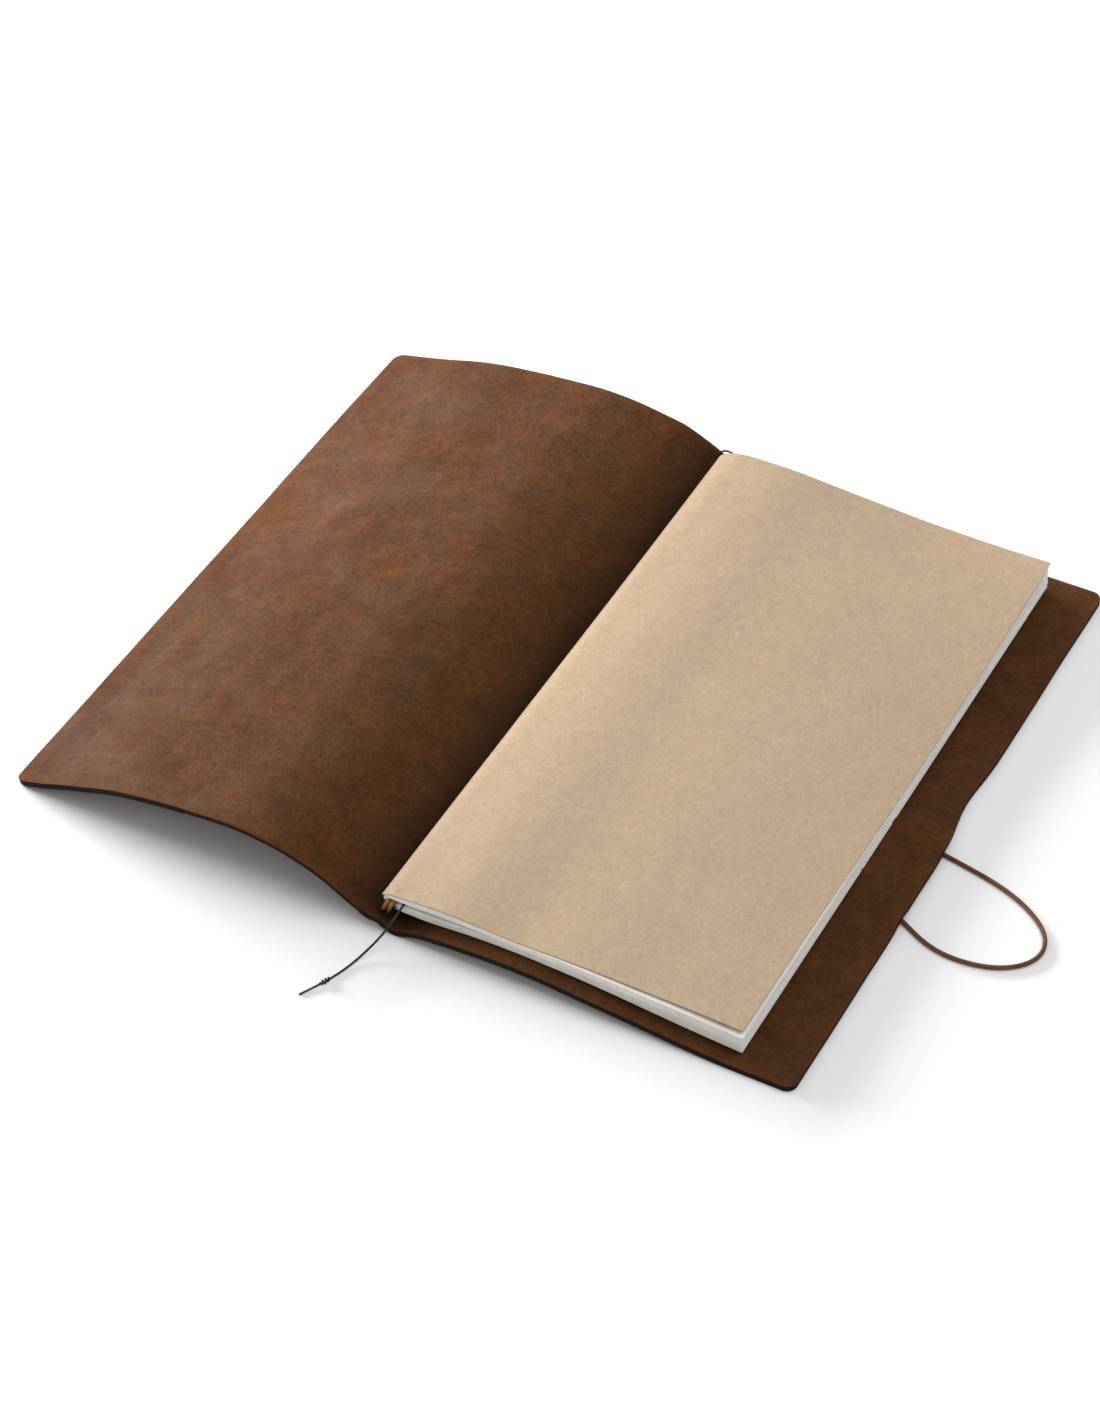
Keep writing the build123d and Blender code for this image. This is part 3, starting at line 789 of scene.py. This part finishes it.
def leaf_height(half, share, x, y):
    """Height inside one half of the leaves; share is 0 at its underside and 1 at its top."""
    opening = smooth(OPENING, x)
    gap = smooth(OPENING_HALF, x)
    if half == "back":
        low = smooth(CARD_UNDER, x) + CARD + 0.08
        return low + share * (opening - gap - low)
    low = opening + gap
    # the kraft cover stands off the leaves by the fore edge, most at the bottom corner
    stand_off = 0.08 + 0.75 * ease((x - 40) / 66) * (0.4 + 0.6 * ease((-60 - y) / 46))
    middle, under = smooth(CARD_MIDDLE, x), CARD + stand_off
    raised = card_top(x, y) - middle
    high = middle - under + min(raised, 0.55 * raised)
    return low + share * (high - low)


def leaf_bundle(half, index, material):
    """A bundle of leaves. Bundle 0 lies next to the middle opening."""
    bm = bmesh.new()
    slot = index if half == "front" else GROUPS - 1 - index
    for number in range(LEAVES):
        share = (slot * LEAVES + number + 0.5) / (GROUPS * LEAVES)
        outward = share if half == "front" else 1 - share
        reach = FOLD_INNER + (FOLD_OUTER - FOLD_INNER) * outward
        edge = BOOK_EDGE - 0.25 + dice.uniform(-0.14, 0.14)
        bottom = BOOK_BOTTOM + 0.18 + dice.uniform(-0.12, 0.12)
        top = BOOK_TOP - 0.18 + dice.uniform(-0.12, 0.12)
        lift = dice.uniform(-0.02, 0.02)
        bent_leaf(bm, reach, lambda x, y: leaf_height(half, share, x, y) + lift,
                  (edge, bottom, top), half == "back")
    name = f"{half}_leaves_{index + 1}"
    obj = piece(f"paper_{name}", bm, [material])
    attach(obj, f"leaves_{index + 1}" if half == "front" else "back_cover")
    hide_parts(name)


def booklet():
    """The leaves and the kraft cover."""
    card, page = kraft(), paper()
    for index in range(GROUPS):
        leaf_bundle("front", index, page)
        leaf_bundle("back", index, page)
    card_front(card)
    card_back(card)


# ------------------------------------------------------------------ pieces kept as solids
def kept_nodes():
    """Finishes for the staples, the clasp, the gutter elastic with painted shade low down, and the
    hidden knot.
    """
    steel = worn_metal("staple_wire", (0.62, 0.62, 0.63), 0.35)
    tin = worn_metal("clasp_tin", (0.68, 0.66, 0.62), 0.3)
    rust = braided("gutter_elastic", (0.23, 0.075, 0.025), (0.58, 0.27, 0.13), 1500, 0.65)
    tree = rust.node_tree
    shader = tree.nodes["Principled BSDF"]
    tone = shader.inputs["Base Color"].links[0].from_socket
    place = tree.nodes.new("ShaderNodeTexCoord").outputs["Object"]
    # painted shade: the strands darken low down in the gutter, where the leather shades them
    strand_painted_shade = along(tree, place, "Z", 0.0082, 0.0060)      # dark down in the gutter
    tree.links.new(mixed(tree, strand_painted_shade, tone, (0.012, 0.006, 0.004)), shader.inputs["Base Color"])
    brown = bpy.data.materials["closing_elastic"]
    for node, material in (("staple_bottom", steel), ("staple_top", steel), ("elastic_clasp", tin),
                           ("binding_elastic", rust), ("closure_knot", brown)):
        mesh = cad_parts[node].data
        mesh.materials.clear()
        mesh.materials.append(material)


# ------------------------------------------------------------------ studio
def area_light(name, place, aim, size, power):
    """A soft box at a place, in metres, turned to its aim."""
    lamp = bpy.data.lights.new(name, "AREA")
    lamp.shape = "RECTANGLE"
    lamp.size, lamp.size_y = size
    lamp.energy = power
    holder = bpy.data.objects.new(name, lamp)
    holder.location = place
    holder.rotation_euler = (Vector(aim) - Vector(place)).to_track_quat("-Z", "Y").to_euler()
    bpy.context.scene.collection.objects.link(holder)


def studio():
    """A white table under a bright tent, with a long low light from the cover's fore edge."""
    bm = bmesh.new()
    bmesh.ops.create_grid(bm, x_segments=1, y_segments=1, size=4)
    material, _, shader, _ = new_material("table", (0.95, 0.95, 0.95), 0.9)
    shader.inputs["Specular IOR Level"].default_value = 0.0
    floor = piece("table", bm, [material])
    world = bpy.data.worlds.new("tent")
    bpy.context.scene.world = world
    world.use_nodes = True
    sky = world.node_tree.nodes["Background"]
    sky.inputs["Color"].default_value = (1, 1, 1, 1)
    sky.inputs["Strength"].default_value = 0.5
    area_light("low_side", (-1.46, 0.42, 0.34), (0, 0, 0.01), (1.4, 0.36), 70)
    area_light("above", (0.5, 0.3, 1.6), (0, 0, 0), (1.6, 1.6), 11)
    bpy.context.scene.view_settings.view_transform = "Standard"


camera()
cords()
leather()
booklet()
kept_nodes()
studio()
